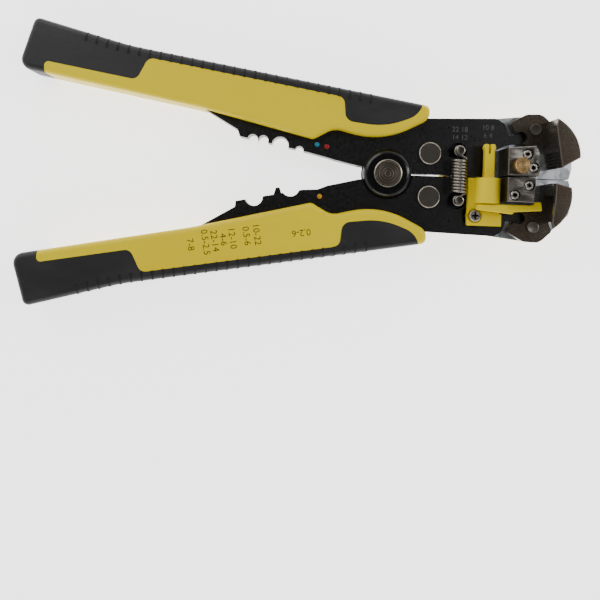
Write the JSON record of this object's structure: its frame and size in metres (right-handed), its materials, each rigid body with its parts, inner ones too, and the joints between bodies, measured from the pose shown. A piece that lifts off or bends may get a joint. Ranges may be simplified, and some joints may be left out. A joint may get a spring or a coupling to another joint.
{
  "type": "wire stripper",
  "caption": "Self-adjusting wire stripper with spring-loaded jaws, sliding length stop, knurled tension knob, crimping notches and two-material handles.",
  "frame": {"origin": "main pivot axis at the plane the tool rests on, on the flat tail of the pivot rivet", "axes": "+X from the main pivot to the jaws, +Y to the upper handle, +Z out of the front face"},
  "size_m": [0.2086, 0.1072, 0.0262],
  "materials": {
    "zinc_plate": "satin",
    "black_plate": "semi-gloss",
    "sintered_steel": "satin",
    "ground_steel": "satin",
    "rivet_steel": "satin",
    "screw_steel": "polished",
    "spring_steel": "satin",
    "blade_steel": "polished",
    "brass": "machined",
    "yellow_plastic": "satin",
    "black_rubber": "matt",
    "blue_paint": "gloss",
    "red_paint": "gloss",
    "yellow_paint": "gloss"
  },
  "bodies": {
    "lower_arm": {"lower_arm": "zinc_plate", "main_pivot_rivet": "rivet_steel", "lower_jaw_pin": "rivet_steel", "cutting_block": "ground_steel", "cutting_block_screws": "screw_steel", "cutting_block_blade": "blade_steel", "front_spring": "spring_steel", "rear_spring": "spring_steel", "lower_front_post": "rivet_steel", "lower_rear_post": "rivet_steel", "stop_bracket": "yellow_plastic", "stop_screw": "screw_steel", "lower_cover": "yellow_plastic", "lower_cover_screws": "screw_steel", "guide_bar": "black_plate", "guide_bar_rivets": "rivet_steel"},
    "upper_arm": {"upper_arm": "zinc_plate", "upper_jaw_pin": "rivet_steel", "gripping_block": "ground_steel", "gripping_block_screws": "screw_steel", "upper_front_post": "rivet_steel", "upper_rear_post": "rivet_steel", "upper_cover": "yellow_plastic", "upper_cover_screws": "screw_steel"},
    "upper_handle": {"upper_front_plate": "black_plate", "upper_rear_plate": "black_plate", "upper_crimp_plate": "black_plate", "upper_plate_rivets": "rivet_steel", "upper_drive_rivet": "rivet_steel", "upper_grip_core": "yellow_plastic", "upper_grip_sleeve": "black_rubber", "blue_mark": "blue_paint", "red_mark": "red_paint"},
    "lower_handle": {"lower_front_plate": "black_plate", "lower_rear_plate": "black_plate", "lower_crimp_plate": "black_plate", "lower_plate_rivets": "rivet_steel", "lower_drive_rivet": "rivet_steel", "lower_grip_core": "yellow_plastic", "lower_grip_sleeve": "black_rubber", "yellow_mark": "yellow_paint"},
    "upper_jaw": {"upper_jaw": "sintered_steel"},
    "lower_jaw": {"lower_jaw": "sintered_steel", "lower_jaw_blade": "blade_steel"},
    "tension_knob": {"tension_knob": "brass"},
    "stop_slider": {"stop_slider": "yellow_plastic"}
  },
  "joints": [
    {"name": "arm_spread", "type": "hinge", "parent": "lower_arm", "child": "upper_arm", "pos_m": [0, 0, 0.0076], "axis": [0, 0, 1], "range_deg": [0, 19.1], "stiffness_Nm_per_rad": 2, "springref_deg": -8.59, "deforming": ["front_spring", "rear_spring"]},
    {"name": "upper_handle_squeeze", "type": "hinge", "parent": "upper_arm", "child": "upper_handle", "pos_m": [0, 0, 0.0076], "axis": [0, 0, 1], "range_deg": [0, 2.66], "stiffness_Nm_per_rad": 2, "springref_deg": -2.86},
    {"name": "upper_jaw_close", "type": "hinge", "parent": "upper_arm", "child": "upper_jaw", "pos_m": [0.0546, 0.0183, 0.0115], "axis": [0, 0, -1], "range_deg": [0, 21.5]},
    {"name": "lower_handle_squeeze", "type": "hinge", "parent": "lower_arm", "child": "lower_handle", "pos_m": [0, 0, 0.0076], "axis": [0, 0, -1], "range_deg": [0, 2.17]},
    {"name": "lower_jaw_close", "type": "hinge", "parent": "lower_arm", "child": "lower_jaw", "pos_m": [0.0546, -0.0183, 0.0115], "axis": [0, 0, 1], "range_deg": [0, 17.5]},
    {"name": "stop_slide", "type": "slide", "parent": "lower_arm", "child": "stop_slider", "axis": [0, -1, 0], "range_m": [0, 0.01]},
    {"name": "tension_knob_turn", "type": "hinge", "parent": "upper_arm", "child": "tension_knob", "pos_m": [0.0467, 0.0039, 0.0221], "axis": [0, 0, 1], "range_deg": [-180, 180]}
  ],
  "couplings": [
    {"joint": "upper_jaw_close", "follows": "upper_handle_squeeze", "ratio": 8.054},
    {"joint": "lower_handle_squeeze", "follows": "upper_handle_squeeze", "ratio": 0.8139},
    {"joint": "lower_jaw_close", "follows": "upper_handle_squeeze", "ratio": 6.556}
  ]
}
